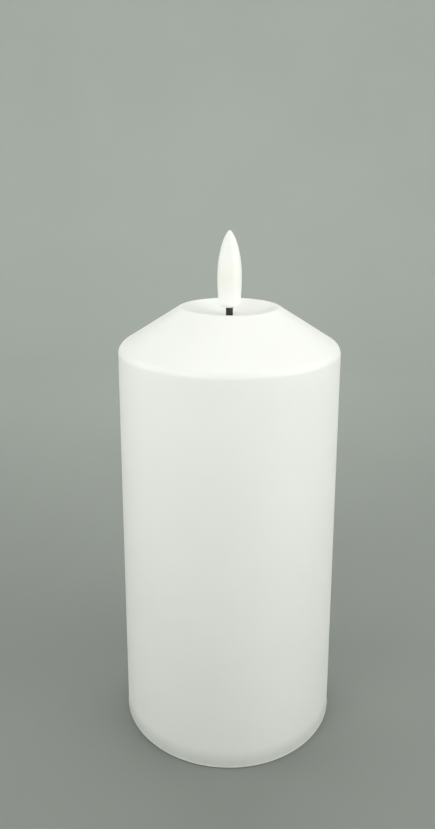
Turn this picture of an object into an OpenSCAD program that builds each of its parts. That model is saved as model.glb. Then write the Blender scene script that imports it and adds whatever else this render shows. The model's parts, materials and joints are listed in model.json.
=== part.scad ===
// Flameless LED pillar candle: a hollow moulded body with a conical shoulder and a dished top,
// a frosted bullet-shaped flame on a black wick, and a battery base closed from below.
// Millimetres, +Z up. The origin is the middle of the face the candle stands on; the switch
// and the door's hinge are on the -Y side, the door's latch on the +Y side.

/* [Candle body] */
// Outer diameter of the body
body_d = 75; // [75:0.5:82]
// Height of the body at its rim
body_h = 150; // [125:1:200]
// Height of the conical shoulder, from the straight side to the rim
shoulder_rise = 13.3; // [10:0.1:15]
// Diameter where the line of the cone meets the level of the rim
rim_d = 33.7; // [28:0.1:36]
// Depth of the dish at its centre
dish_depth = 3.4; // [2:0.1:4.5]
// Wall thickness, which is also the radius of the rounded rim
wall = 2; // [1.6:0.1:2.2]
// Radius of the rounding between the straight side and the cone
shoulder_round = 3.4; // [2:0.1:5]
// Radius of the rounding at the bottom edge
foot_round = 0.6; // [0.3:0.1:0.8]

/* [Flame and wick] */
// Length of the flame
flame_l = 25.6; // [20:0.1:30]
// Largest diameter of the flame
flame_d = 8.16; // [7:0.02:10]
// Height of the flame's widest place above its lower end
flame_belly = 10; // [8:0.5:12]
// Height of the flame's lower end above the level of the rim
flame_gap = -0.2; // [-1:0.1:3]
// Outer diameter of the black wick
wick_d = 2.4; // [2.2:0.1:2.6]

/* [Battery base] */
// Height of the underside of the base above the surface the candle stands on
base_recess = 2.5; // [2.2:0.1:3]
// Thickness of the base plate
plate_t = 2; // [1.8:0.1:2.4]
// Thickness of the battery door
door_t = 1.5; // [1.3:0.1:1.6]
// Radius at which the base screws stand
screw_circle_r = 30.5; // [30:0.1:31]
// Way the switch knob travels to each side of its middle position
switch_travel = 2; // [1.5:0.1:2.2]

/* [Hidden] */
$fn = 64;

arc_steps = 10;
cut = 1; // how far a cutting solid runs past the face it opens
rest_gap = 0.05; // left between two pieces that rest against one another
side_gap = 0.3; // left beside a piece that moves or is taken out
body_r = body_d / 2;
inner_r = body_r - wall;

// Shoulder, rim and dish. The cone, the rim's rounding and the dish's sphere meet tangentially.
shoulder_z = body_h - shoulder_rise;
rim_r = rim_d / 2;
cone_a = atan2(shoulder_rise, body_r - rim_r);
rim_centre_r = rim_r - wall * tan(cone_a / 2);
rim_centre_z = body_h - wall;
dish_span = (pow(rim_centre_r, 2) + pow(dish_depth, 2)) / (2 * dish_depth);
dish_r = dish_span - wall;
dish_centre_z = body_h - dish_depth + dish_r;
dish_a = asin(rim_centre_r / dish_span);
shoulder_arc_z = shoulder_z - shoulder_round * tan((90 - cone_a) / 2);
inner_cone_z = shoulder_z - wall / cos(cone_a) + wall * tan(cone_a);
ceiling_z = dish_centre_z - dish_r - wall;

// Wick and the plug that holds it under the dish
wick_r = wick_d / 2;
sleeve_bore_r = wick_r - 0.4;
wick_hole_r = wick_r + 0.1;
wick_grip_r = wick_r + 0.02; // bore of what grips the wick
plug_r = 3.25;
plug_socket_r = 3.3;
plug_boss_r = 5.2;
plug_h = 7;
plug_flange_t = 1.5;
plug_seat_z = ceiling_z - plug_h;

// Flame
flame_r = flame_d / 2;
flame_z = body_h + flame_gap;
flame_foot_round = 1.8;
flame_side_r = 90;
flame_power = 0.67;
flame_mouth_h = 1.8;
flame_cavity_r = 1.75;
flame_cavity_h = 6;
led_board_z = flame_z + flame_mouth_h + rest_gap;
led_board_r = 1.65;
led_board_t = 0.6;
led_chip_size = [1.6, 1.2, 0.7];

// Leads: insulated wire
led_lead_r = 0.35;
led_lead_x = 0.38;
battery_lead_r = 0.6;
lead_sides = 8;
lead_steps = 5;

// Base plate and battery bay
plate_r = inner_r - 0.2;
plate_z = base_recess;
plate_top = plate_z + plate_t;
skirt_t = 1.5;
skirt_top = plate_top + 1.6;
bay_x = 28;
bay_y = 15;
bay_wall = 1.6;
bay_floor_z = plate_z + door_t + 0.2;
cell_r = 7.1;
cell_l = 50.5;
cell_nub_r = 2.65;
cell_nub_h = 1.4;
cell_edge = 0.6;
nub_edge = 0.3;
cell_y = 7.5;
cell_z = plate_top + cell_r;
bay_top = cell_z + cell_r + 0.5;
roof_t = 1.2;
roof_top = bay_top + roof_t;

// Screw posts of the body, which stand on the bosses of the base
post_z = plate_top + 2;
post_r = 3.2;
post_h = 20;
screw_angles = [90, 225, 315];
screw_r = 1.08;
screw_hole_r = 1.1;
screw_shank_l = 10;
screw_head_r = 2.7;
screw_head_h = 1.7;
screw_seat_z = plate_z + 2.2;
counterbore_r = 2.9;
housing_boss_r = 3.9;

// Door hinge: two moulded arms with stub pins, in lugs of the housing
hinge_y = -18.4;
hinge_z = plate_z + door_t;
knuckle_r = door_t;
pin_r = 0.74;
pin_bore_r = 0.8;
arm_x = [7.5, 12];
pin_end_x = 14;
lug_end_x = 15.8;
lug_depth = 2; // of a lug behind the hinge's line
lug_rise = 2.4; // of a lug above it
door_x = 28.6;
door_y = [-15.3, 15.6];

// Latch: a U-shaped spring tongue, split at the top of the U where it flexes
latch_x = 5;
latch_y = 18.4;
latch_z = plate_z + 5.5;
latch_out_r = 1.4;
latch_in_r = 0.5;
latch_split = 2;
latch_gap_y = 20.15;
latch_side_gap = 0.9;
latch_pocket_top = latch_z + latch_out_r + 0.6;
hinge_pocket_top = hinge_z + knuckle_r + side_gap;
hood_t = 1.2; // wall of the hoods that close the latch's and the hinge's pockets
barb_t = 0.2;
scoop_r = 8;
scoop_depth = 1.4;
scoop_y = 22.9;
scoop_x = latch_x + 1.5;

// Contacts
contact_t = 0.4;
contact_w = 12.5;
contact_z = [plate_top + 0.7, bay_top - 1];
tab_w = 3;
tab_top = roof_top + 2;
tab_gap = 0.2; // round a tab in its slot
dimple_r = 2.4;
dimple_h = 0.6;
cell_low_x = bay_x - contact_t - dimple_h; // distance of the nub's tip from the middle
cell_high_x = cell_l - cell_low_x; // distance of the flat end from the middle
spring_wire_r = 0.35;
spring_r = [5, 3.2];
spring_turns = 3.5;
spring_steps = 20;

// Switch and timer board
switch_y = -25;
switch_size = [11, 4.6, 3.9];
can_t = 0.3;
slider_z = plate_top + can_t + 0.1;
switch_base_z = plate_top + 2.5;
switch_base_t = 1.4;
knob_size = [3, 2.4];
knob_tip_z = base_recess - 1.3;
slider_size = [6.2, 3.4, 1];
slot_x = knob_size[0] / 2 + switch_travel + side_gap;
slot_y = knob_size[1] / 2 + side_gap;
well_size = [13, 6.8];
well_depth = 1;
board_z = plate_top + 4.2;
board_t = 1.2;
board_top = board_z + board_t;
board_x = 14.5;
board_y = [-29.8, -18.2];
board_screw_x = 11.5;
board_screw_y = -27.2;
board_post_r = 1.9;
board_screw_r = 0.78;
board_screw_l = 4.6;
board_hole_r = 0.8;
board_head_r = 1.7;
board_head_h = 1.2;
terminal_x = [-3.75, -1.25, 1.25, 3.75];
terminal_r = 0.38;
terminal_hole_r = 0.45;
led_pad = [1, -28.4];
battery_pad_y = -20.5;
battery_pad_x = [-8, -11.5];

red_route = [
    [-27.4, cell_y, 21.9], [-24, cell_y, 21.6], [-18, 5, 21.5], [-13, -3, 21.5],
    [-9.5, -13, 21.5], [-8, -18.5, 20], [battery_pad_x[0], battery_pad_y, 15],
    [battery_pad_x[0], battery_pad_y, board_top + 0.1]
];
black_route = [
    [-27.4, -cell_y, 21.9], [-24, -cell_y, 21.6], [-18, -10.5, 21.5], [-13.5, -16.2, 21.3],
    [-11.8, -19.8, 18.5], [battery_pad_x[1], battery_pad_y, 14],
    [battery_pad_x[1], battery_pad_y, board_top + 0.1]
];

// ---------------------------------------------------------------- helpers

// Points of an arc about c, from angle a0 to a1
function arc(c, r, a0, a1, n = arc_steps) =
    [for (i = [0:n]) let (a = a0 + (a1 - a0) * i / n) [c[0] + r * cos(a), c[1] + r * sin(a)]];

// One point of a smooth curve through p, at t between point i and the next
function curve_point(p, i, t) =
    let (
        n = len(p) - 1,
        a = p[max(i - 1, 0)],
        b = p[i],
        c = p[min(i + 1, n)],
        d = p[min(i + 2, n)]
    )
    0.5 * (2 * b + (c - a) * t + (2 * a - 5 * b + 4 * c - d) * t * t
        + (3 * b - a - 3 * c + d) * t * t * t);

function smooth_route(p, steps) = concat(
    [for (i = [0:len(p) - 2]) for (k = [0:steps - 1]) curve_point(p, i, k / steps)],
    [p[len(p) - 1]]
);

function unit(v) = v / norm(v);

function direction(p, i) = unit(p[min(i + 1, len(p) - 1)] - p[max(i - 1, 0)]);

// A round wire along the points p. side is a direction that the wire never runs in.
module wire(p, r, side, sides = lead_sides) {
    rings = len(p);
    points = [
        for (i = [0:rings - 1])
            let (t = direction(p, i), u = unit(cross(side, t)), v = cross(t, u))
            for (k = [0:sides - 1])
                p[i] + r * (u * cos(360 * k / sides) + v * sin(360 * k / sides))
    ];
    walls = [
        for (i = [0:rings - 2]) for (k = [0:sides - 1])
            let (n = (k + 1) % sides, a = i * sides, b = a + sides)
            [a + k, b + k, b + n, a + n]
    ];
    start_cap = [[for (k = [0:sides - 1]) k]];
    end_cap = [[for (k = [sides - 1:-1:0]) (rings - 1) * sides + k]];
    polyhedron(points = points, faces = concat(walls, start_cap, end_cap), convexity = 6);
}

// A box from its low corner to its high corner
module block(low, high) {
    translate(low) cube(high - low);
}

// The same thing on both sides of the middle plane x = 0
module both_sides() {
    children();
    mirror([1, 0, 0]) children();
}

// A tube about the Z axis
module ring(r_out, r_in, z0, z1) {
    translate([0, 0, z0]) difference() {
        cylinder(r = r_out, h = z1 - z0);
        translate([0, 0, -cut]) cylinder(r = r_in, h = z1 - z0 + 2 * cut);
    }
}

module at_base_screws() {
    for (a = screw_angles) rotate([0, 0, a]) translate([screw_circle_r, 0, 0]) children();
}

module at_board_screws() {
    for (s = [-1, 1]) translate([s * board_screw_x, board_screw_y, 0]) children();
}

// ---------------------------------------------------------------- body and flame

// Half section of the moulded body, from the foot over the shoulder, rim and dish and back inside
module shell_section() {
    outer_foot = arc([body_r - foot_round, foot_round], foot_round, -90, 0, 6);
    shoulder = arc([body_r - shoulder_round, shoulder_arc_z], shoulder_round, 0, 90 - cone_a);
    rim = arc([rim_centre_r, rim_centre_z], wall, 90 - cone_a, 90 + dish_a);
    dish = arc([0, dish_centre_z], dish_r, dish_a - 90, asin(wick_hole_r / dish_r) - 90);
    under_dish = arc(
        [0, dish_centre_z], dish_r + wall, asin(wick_hole_r / (dish_r + wall)) - 90, dish_a - 90
    );
    polygon(concat(
        [[inner_r, 0]], outer_foot, shoulder, rim, dish, under_dish,
        [[inner_r, inner_cone_z]]
    ));
}

// Post for a base screw, tied to the wall by a rib
module screw_post() {
    translate([0, 0, post_z]) cylinder(r = post_r, h = post_h);
    block([0, -wall / 2, post_z], [body_r - wall / 2 - screw_circle_r, wall / 2, post_z + post_h]);
}

module candle_shell() {
    color("ivory") difference() {
        union() {
            rotate_extrude($fn = 128) shell_section();
            ring(plug_boss_r, plug_socket_r, plug_seat_z, ceiling_z + wall / 2);
            at_base_screws() screw_post();
        }
        translate([0, 0, plug_seat_z]) cylinder(r = plug_socket_r, h = plug_h);
        at_base_screws()
            translate([0, 0, post_z - cut]) cylinder(r = screw_hole_r, h = screw_shank_l + 2);
        translate([0, 0, ceiling_z - cut]) cylinder(r = wick_hole_r, h = wall + dish_depth);
    }
}

// Radius of the flame's upper part at t, from 0 at the belly to 1 at the tip
function flame_top_r(t) = flame_r * pow(1 - t * t, flame_power);

module flame_section() {
    tip_l = flame_l - flame_belly;
    side_z = flame_foot_round * 1.05;
    side_drop = pow(flame_belly - side_z, 2) / (2 * flame_side_r);
    foot = arc(
        [flame_r - side_drop - flame_foot_round, flame_foot_round], flame_foot_round, -90, 0, 8
    );
    side = [
        for (i = [1:6]) let (h = (flame_belly - side_z) * (1 - i / 7))
            [flame_r - h * h / (2 * flame_side_r), flame_belly - h]
    ];
    upper = [
        for (i = [0:19]) let (t = sin(90 * i / 20)) [flame_top_r(t), flame_belly + tip_l * t]
    ];
    cavity = arc([0, flame_mouth_h + flame_cavity_h], flame_cavity_r, 90, 0, 8);
    polygon(concat(
        [[wick_grip_r, 0]], foot, side, upper, [[0, flame_l]], cavity,
        [[flame_cavity_r, flame_mouth_h], [wick_grip_r, flame_mouth_h]]
    ));
}

module flame() {
    color("whitesmoke") translate([0, 0, flame_z]) rotate_extrude($fn = 96) flame_section();
}

module wick_sleeve() {
    color([0.12, 0.12, 0.12])
        ring(wick_r, sleeve_bore_r, plug_seat_z - plug_flange_t, flame_z + flame_mouth_h);
}

module wick_holder() {
    color("gainsboro") {
        ring(plug_r, wick_grip_r, plug_seat_z - cut / 2, ceiling_z - rest_gap);
        ring(plug_boss_r, wick_grip_r, plug_seat_z - plug_flange_t, plug_seat_z);
    }
}

module led_board() {
    color("white") translate([0, 0, led_board_z]) cylinder(r = led_board_r, h = led_board_t);
}

module led_chip() {
    color("gold") translate([
        -led_chip_size[0] / 2, -led_chip_size[1] / 2, led_board_z + led_board_t
    ]) cube(led_chip_size);
}

// One lead from its pad on the timer board up the front wall and over into the wick.
// side is -1 for the red lead and 1 for the black one.
module led_lead(side) {
    route = [
        [side * led_pad[0], led_pad[1], board_top + 0.1],
        [side * led_pad[0], led_pad[1], 20],
        [side * led_pad[0], led_pad[1] - 1, 45],
        [side * led_pad[0], led_pad[1] - 1, 75],
        [side * led_pad[0], led_pad[1] - 0.5, body_h - 50],
        [side * 0.9, -23, body_h - 36],
        [side * 0.7, -12, body_h - 27],
        [side * led_lead_x, -3.5, body_h - 22],
        [side * led_lead_x, 0, body_h - 16],
        [side * led_lead_x, 0, body_h - 13.5]
    ];
    upper_end = [side * led_lead_x, 0, led_board_z - rest_gap];
    wire(concat(smooth_route(route, lead_steps), [upper_end]), led_lead_r, [1, 0, 0]);
}

module led_lead_red() {
    color("firebrick") led_lead(-1);
}

module led_lead_black() {
    color([0.15, 0.15, 0.15]) led_lead(1);
}

// ---------------------------------------------------------------- base

module bay_walls() {
    difference() {
        block(
            [-bay_x - bay_wall, -bay_y - bay_wall, bay_floor_z],
            [bay_x + bay_wall, bay_y + bay_wall, roof_top]
        );
        block([-bay_x, -bay_y, bay_floor_z - cut], [bay_x, bay_y, bay_top]);
    }
}

// Everything the door needs room for in the base plate
module door_openings() {
    low = plate_z - cut;
    block(
        [-door_x - side_gap, door_y[0] - 2 * side_gap, low],
        [door_x + side_gap, door_y[1] + side_gap, bay_floor_z]
    );
    both_sides() block(
        [arm_x[0] - side_gap, hinge_y - knuckle_r - side_gap, low],
        [arm_x[1] + side_gap, -bay_y, hinge_pocket_top]
    );
    latch_half = latch_x + latch_side_gap;
    block([-latch_half, bay_y, low], [latch_half, latch_gap_y, bay_floor_z]);
    block([-latch_half, bay_y + bay_wall, low], [latch_half, latch_gap_y, latch_pocket_top]);
}

// Walls that close the pockets of the latch and of the hinge's arms towards the inside
module pocket_hoods() {
    latch_half = latch_x + latch_side_gap + hood_t;
    block(
        [-latch_half, bay_y + bay_wall / 2, plate_z],
        [latch_half, latch_gap_y + hood_t, latch_pocket_top + hood_t]
    );
    both_sides() block(
        [arm_x[0] - side_gap - hood_t, hinge_y - knuckle_r - side_gap - hood_t, plate_z],
        [arm_x[1] + side_gap + hood_t, -bay_y - bay_wall / 2, hinge_pocket_top + hood_t]
    );
}

module hinge_lugs() {
    both_sides() block(
        [arm_x[1] + side_gap, hinge_y - lug_depth, plate_z],
        [lug_end_x, -bay_y - bay_wall / 2, hinge_z + lug_rise]
    );
}

// Hollow in front of the latch for a fingertip
module finger_scoop() {
    translate([-scoop_x, scoop_y, plate_z + scoop_depth - scoop_r])
        rotate([0, 90, 0]) cylinder(r = scoop_r, h = 2 * scoop_x);
}

module tab_slots() {
    for (s = [-1, 1]) block(
        [-bay_x, s * cell_y - tab_w / 2 - tab_gap, bay_top - cut],
        [-bay_x + contact_t + tab_gap, s * cell_y + tab_w / 2 + tab_gap, roof_top + cut]
    );
}

module switch_opening() {
    block([-slot_x, switch_y - slot_y, plate_z - cut], [slot_x, switch_y + slot_y, plate_top + cut]);
    block(
        [-well_size[0] / 2, switch_y - well_size[1] / 2, plate_z - cut],
        [well_size[0] / 2, switch_y + well_size[1] / 2, plate_z + well_depth]
    );
}

module base_housing() {
    color("white") difference() {
        union() {
            difference() {
                union() {
                    translate([0, 0, plate_z]) cylinder(r = plate_r, h = plate_t, $fn = 128);
                    bay_walls();
                    hinge_lugs();
                    pocket_hoods();
                }
                door_openings();
            }
            ring(plate_r, plate_r - skirt_t, plate_top, skirt_top, $fn = 128);
            at_base_screws() translate([0, 0, plate_z]) cylinder(
                r = housing_boss_r, h = post_z - plate_z
            );
            at_board_screws() translate([0, 0, plate_top - 0.5]) cylinder(
                r = board_post_r, h = board_z - plate_top + 0.5
            );
        }
        block([-bay_x, -bay_y, plate_z], [bay_x, bay_y, bay_top]);
        both_sides() translate([arm_x[1], hinge_y, hinge_z]) rotate([0, 90, 0])
            cylinder(r = pin_bore_r, h = pin_end_x + side_gap - arm_x[1]);
        finger_scoop();
        tab_slots();
        switch_opening();
        at_base_screws() {
            translate([0, 0, plate_z - cut]) cylinder(
                r = counterbore_r, h = screw_seat_z - plate_z + cut
            );
            translate([0, 0, plate_z]) cylinder(r = screw_hole_r + side_gap, h = post_z);
        }
        at_board_screws() translate([0, 0, plate_top + 0.5])
            cylinder(r = board_hole_r, h = board_z - plate_top);
    }
}

// Pan head screw pointing up, its head's seat at z = 0, with a cross recess
module pan_screw(shank_r, shank_l, head_r, head_h) {
    crown_h = head_h * 0.4;
    recess = [head_r, head_r * 0.22, head_h * 0.55];
    difference() {
        union() {
            translate([0, 0, crown_h - head_h]) cylinder(r = head_r, h = head_h - crown_h);
            translate([0, 0, -head_h]) cylinder(r1 = head_r * 0.7, r2 = head_r, h = crown_h);
            cylinder(r = shank_r, h = shank_l - shank_r);
            translate([0, 0, shank_l - shank_r]) cylinder(r1 = shank_r, r2 = 0.2, h = shank_r);
        }
        for (a = [0, 90]) rotate([0, 0, a]) block(
            [-recess[0] / 2, -recess[1] / 2, -head_h - cut],
            [recess[0] / 2, recess[1] / 2, recess[2] - head_h]
        );
    }
}

module base_screws() {
    color("silver") at_base_screws() translate([0, 0, screw_seat_z])
        pan_screw(screw_r, screw_shank_l, screw_head_r, screw_head_h);
}

// ---------------------------------------------------------------- door and latch

// Half of the U-bend, between two angles about the flexing line
module u_bend(a0, a1) {
    translate([-latch_x, latch_y, latch_z]) rotate([90, 0, 90]) linear_extrude(2 * latch_x)
        intersection() {
            difference() {
                circle(r = latch_out_r);
                circle(r = latch_in_r);
            }
            polygon(concat([[0, 0]], arc([0, 0], 2 * latch_out_r, a0, a1, 4)));
        }
}

module battery_door() {
    leg_y = latch_y - latch_out_r;
    color("white") {
        block([-door_x, door_y[0], plate_z], [door_x, door_y[1], hinge_z]);
        both_sides() {
            block([arm_x[0], hinge_y, plate_z], [arm_x[1], door_y[0] + 1, hinge_z]);
            translate([arm_x[0], hinge_y, hinge_z]) rotate([0, 90, 0])
                cylinder(r = knuckle_r, h = arm_x[1] - arm_x[0]);
            translate([arm_x[1] - 0.5, hinge_y, hinge_z]) rotate([0, 90, 0])
                cylinder(r = pin_r, h = pin_end_x - arm_x[1] + 0.5);
        }
        block(
            [-latch_x, door_y[1] - 1, plate_z],
            [latch_x, latch_y - latch_in_r, hinge_z]
        );
        block([-latch_x, leg_y, plate_z], [latch_x, latch_y - latch_in_r, latch_z]);
        u_bend(90 + latch_split, 180);
    }
}

module door_latch() {
    leg_y = latch_y + latch_in_r;
    face_y = latch_y + latch_out_r;
    color("white") {
        block([-latch_x, leg_y, plate_z], [latch_x, face_y, latch_z]);
        u_bend(0, 90 - latch_split);
        block(
            [-latch_x, face_y - 0.3, plate_top + 0.2],
            [latch_x, face_y + barb_t, plate_top + 1.2]
        );
        block([-latch_x, leg_y - 0.1, plate_z], [latch_x, leg_y + 0.3, plate_z + 1]);
    }
}

// ---------------------------------------------------------------- cells and contacts

// An AA cell along X, its flat end at x = 0 and its nub at x = cell_l
module aa_cell() {
    can_l = cell_l - cell_nub_h;
    rotate([90, 0, 90]) rotate_extrude() polygon([
        [0, 0], [cell_r - cell_edge, 0], [cell_r, cell_edge], [cell_r, can_l - cell_edge],
        [cell_r - cell_edge, can_l], [cell_nub_r, can_l], [cell_nub_r, cell_l - nub_edge],
        [cell_nub_r - nub_edge, cell_l], [0, cell_l]
    ]);
}

module aa_cell_front() {
    color("goldenrod") translate([-cell_high_x, -cell_y, cell_z]) aa_cell();
}

module aa_cell_back() {
    color("goldenrod") translate([cell_high_x, cell_y, cell_z]) mirror([1, 0, 0]) aa_cell();
}

module contact_plate(y0, y1) {
    block([-bay_x, y0, contact_z[0]], [-bay_x + contact_t, y1, contact_z[1]]);
}

module solder_tab(y) {
    block([-bay_x, y - tab_w / 2, contact_z[1] - cut], [-bay_x + contact_t, y + tab_w / 2, tab_top]);
}

module dimple(y) {
    translate([-bay_x + contact_t - 0.1, y, cell_z]) rotate([0, 90, 0])
        cylinder(r1 = dimple_r, r2 = dimple_r * 0.7, h = dimple_h + 0.1);
}

// Conical spring along X from the contact plate to the flat end of a cell
module contact_spring() {
    x0 = -bay_x + contact_t + spring_wire_r;
    x1 = -cell_high_x - spring_wire_r;
    n = spring_turns * spring_steps;
    path = [
        for (i = [0:n]) let (
            s = i / n,
            a = 360 * spring_turns * s,
            r = spring_r[0] + (spring_r[1] - spring_r[0]) * s
        )
        [x0 + (x1 - x0) * s, r * cos(a), cell_z + r * sin(a)]
    ];
    wire(path, spring_wire_r, [1, 0, 0]);
}

module negative_contact() {
    color("silver") {
        contact_plate(-cell_y - contact_w / 2, -cell_y + contact_w / 2);
        solder_tab(-cell_y);
    }
}

module negative_spring() {
    color("silver") translate([0, -cell_y, 0]) contact_spring();
}

module positive_contact() {
    color("silver") {
        contact_plate(cell_y - contact_w / 2, cell_y + contact_w / 2);
        solder_tab(cell_y);
        dimple(cell_y);
    }
}

module bridge_contact() {
    color("silver") mirror([1, 0, 0]) {
        contact_plate(-cell_y - contact_w / 2, cell_y + contact_w / 2);
        dimple(-cell_y);
    }
}

module bridge_spring() {
    color("silver") mirror([1, 0, 0]) translate([0, cell_y, 0]) contact_spring();
}

module battery_lead_red() {
    color("firebrick") wire(smooth_route(red_route, lead_steps), battery_lead_r, [1, 1, 0.2]);
}

module battery_lead_black() {
    color([0.15, 0.15, 0.15])
        wire(smooth_route(black_route, lead_steps), battery_lead_r, [1, 1, 0.2]);
}

// ---------------------------------------------------------------- timer board and switch

module timer_board() {
    color("darkgreen") difference() {
        block([-board_x, board_y[0], board_z], [board_x, board_y[1], board_top]);
        at_board_screws() translate([0, 0, board_z - cut])
            cylinder(r = board_hole_r + 0.2, h = board_t + 2 * cut);
        for (x = terminal_x) translate([x, switch_y, board_z - cut])
            cylinder(r = terminal_hole_r, h = board_t + 2 * cut);
    }
}

module board_screws() {
    color("silver") at_board_screws() translate([0, 0, board_top]) mirror([0, 0, 1])
        pan_screw(board_screw_r, board_screw_l, board_head_r, board_head_h);
}

module timer_chip() {
    size = [4.9, 3.8, 1.4];
    centre = [5.6, -21.3];
    lead_pitch = 1.27;
    lead_w = 0.4;
    lead_t = 0.25;
    lead_y = [size[1] / 2 - 0.2, size[1] / 2 + 0.9];
    color([0.1, 0.1, 0.1]) translate([centre[0], centre[1], board_top]) {
        translate([-size[0] / 2, -size[1] / 2, 0.1]) cube([size[0], size[1], size[2]]);
        for (i = [-1.5:1:1.5]) for (turn = [0, 180]) rotate([0, 0, turn])
            block(
                [i * lead_pitch - lead_w / 2, lead_y[0], 0],
                [i * lead_pitch + lead_w / 2, lead_y[1], lead_t]
            );
    }
}

module timer_crystal() {
    can_r = 1;
    can_l = 6;
    color("silver") translate([-5, -19.6, board_top + can_r + 0.02]) rotate([0, 90, 0])
        cylinder(r = can_r, h = can_l);
}

module board_capacitor() {
    can_r = 2;
    can_h = 7;
    edge = 0.3;
    color("midnightblue") translate([11.8, -21.2, board_top]) {
        cylinder(r = can_r, h = can_h - edge);
        translate([0, 0, can_h - edge]) cylinder(r1 = can_r, r2 = can_r - edge, h = edge);
    }
}

module board_resistors() {
    size = [3.2, 1.6, 0.6];
    color([0.2, 0.2, 0.2]) for (x = [-5.2, -1])
        translate([x, -22.9, board_top]) cube(size);
}

module switch_can() {
    z0 = plate_top;
    z1 = z0 + switch_size[2];
    half = [switch_size[0] / 2, switch_size[1] / 2];
    color("silver") difference() {
        block([-half[0], switch_y - half[1], z0], [half[0], switch_y + half[1], z1]);
        block(
            [-half[0] + can_t, switch_y - half[1] + can_t, z0 + can_t],
            [half[0] - can_t, switch_y + half[1] - can_t, z1 + cut]
        );
        block([-slot_x, switch_y - slot_y, z0 - cut], [slot_x, switch_y + slot_y, z1]);
    }
}

module switch_base() {
    z0 = switch_base_z;
    half = [switch_size[0] / 2 - can_t - rest_gap, switch_size[1] / 2 - can_t - rest_gap];
    color("saddlebrown") difference() {
        block([-half[0], switch_y - half[1], z0], [half[0], switch_y + half[1], z0 + switch_base_t]);
        for (x = terminal_x) translate([x, switch_y, z0 - cut])
            cylinder(r = terminal_r + 0.02, h = switch_base_t + 2 * cut);
    }
}

module switch_terminals() {
    pad = [1.4, 1.8, 0.18];
    z0 = switch_base_z - 0.2;
    color("silver") for (x = terminal_x) translate([x, switch_y, z0]) {
        cylinder(r = terminal_r, h = board_top + 0.9 - z0);
        translate([-pad[0] / 2, -pad[1] / 2, 0]) cube(pad);
    }
}

module switch_knob() {
    color([0.1, 0.1, 0.1]) {
        translate([-slider_size[0] / 2, switch_y - slider_size[1] / 2, slider_z])
            cube(slider_size);
        block(
            [-knob_size[0] / 2, switch_y - knob_size[1] / 2, knob_tip_z],
            [knob_size[0] / 2, switch_y + knob_size[1] / 2, slider_z + slider_size[2] / 2]
        );
    }
}

module switch_wiper() {
    size = [3.8, 2.2, 0.7];
    color("peru") translate([-size[0] / 2, switch_y - size[1] / 2, slider_z + slider_size[2]])
        cube(size);
}

candle_shell();
flame();
wick_sleeve();
wick_holder();
led_board();
led_chip();
led_lead_red();
led_lead_black();
base_housing();
base_screws();
battery_door();
door_latch();
aa_cell_front();
aa_cell_back();
negative_contact();
negative_spring();
positive_contact();
bridge_contact();
bridge_spring();
battery_lead_red();
battery_lead_black();
timer_board();
board_screws();
timer_chip();
timer_crystal();
board_capacitor();
board_resistors();
switch_can();
switch_base();
switch_terminals();
switch_knob();
switch_wiper();
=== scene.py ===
"""The looks of a flameless LED candle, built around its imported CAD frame.

Blender works in metres, in the CAD frame: +Z up, the origin in the middle of the face that the
candle stands on, -Y the side with the switch and the door's hinge. Lengths are written in
millimetres times MM, and repeat the CAD part's own values.
"""

import json
import math
from math import asin, cos, pi, radians, sin, sqrt, tan

import bmesh
import bpy
from mathutils import Matrix, Vector, noise

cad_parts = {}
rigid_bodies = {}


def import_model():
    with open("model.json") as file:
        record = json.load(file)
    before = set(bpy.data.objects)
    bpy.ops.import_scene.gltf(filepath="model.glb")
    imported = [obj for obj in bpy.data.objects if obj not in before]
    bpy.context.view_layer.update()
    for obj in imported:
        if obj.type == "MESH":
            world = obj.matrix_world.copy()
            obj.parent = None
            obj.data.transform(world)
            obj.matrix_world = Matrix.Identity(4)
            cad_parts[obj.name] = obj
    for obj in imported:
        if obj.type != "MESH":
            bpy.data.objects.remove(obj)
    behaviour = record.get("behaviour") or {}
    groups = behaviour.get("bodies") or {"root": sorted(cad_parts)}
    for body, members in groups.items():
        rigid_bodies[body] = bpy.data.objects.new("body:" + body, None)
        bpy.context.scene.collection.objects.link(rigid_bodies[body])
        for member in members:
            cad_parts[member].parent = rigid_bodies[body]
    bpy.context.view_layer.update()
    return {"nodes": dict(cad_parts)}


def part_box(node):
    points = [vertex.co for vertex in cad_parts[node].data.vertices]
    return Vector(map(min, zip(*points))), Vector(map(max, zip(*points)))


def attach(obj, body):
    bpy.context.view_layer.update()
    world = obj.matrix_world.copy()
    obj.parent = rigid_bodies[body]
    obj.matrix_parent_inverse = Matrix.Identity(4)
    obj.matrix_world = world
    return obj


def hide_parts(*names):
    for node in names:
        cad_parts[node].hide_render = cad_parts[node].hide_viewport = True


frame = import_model()

MM = 0.001
WELD = 0.002 * MM
AXIS_R = 1e-7  # a lathe point nearer the axis than this is on it

# ---------------------------------------------------------------- sizes of the CAD part

BODY_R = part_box("candle_shell")[1].x
BODY_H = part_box("candle_shell")[1].z
SHOULDER_RISE = 13.3 * MM
RIM_R = 16.85 * MM
DISH_DEPTH = 3.4 * MM
WALL = 2 * MM
SHOULDER_ROUND = 3.4 * MM
FOOT_ROUND = 0.6 * MM
FOOT_LIP = 0.12 * MM  # the foot's moulded edge stands this much proud
INNER_R = BODY_R - WALL
SCREW_R = 30.5 * MM
SCREW_ANGLES = [radians(a) for a in (90, 225, 315)]

FLAME_LOW, FLAME_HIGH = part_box("flame")
FLAME_R = FLAME_HIGH.x
FLAME_BELLY = 10 * MM
FLAME_FOOT_ROUND = 1.8 * MM
FLAME_SIDE_R = 90 * MM
FLAME_POWER = 0.67

WICK_LOW, WICK_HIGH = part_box("wick_sleeve")
WICK_R = WICK_HIGH.x
WICK_BORE_R = WICK_R - 0.4 * MM
WICK_HOLE_R = WICK_R + 0.1 * MM
SOCKET_R = 3.3 * MM
SOCKET_BOSS_R = 5.2 * MM
SOCKET_H = 7 * MM

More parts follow.
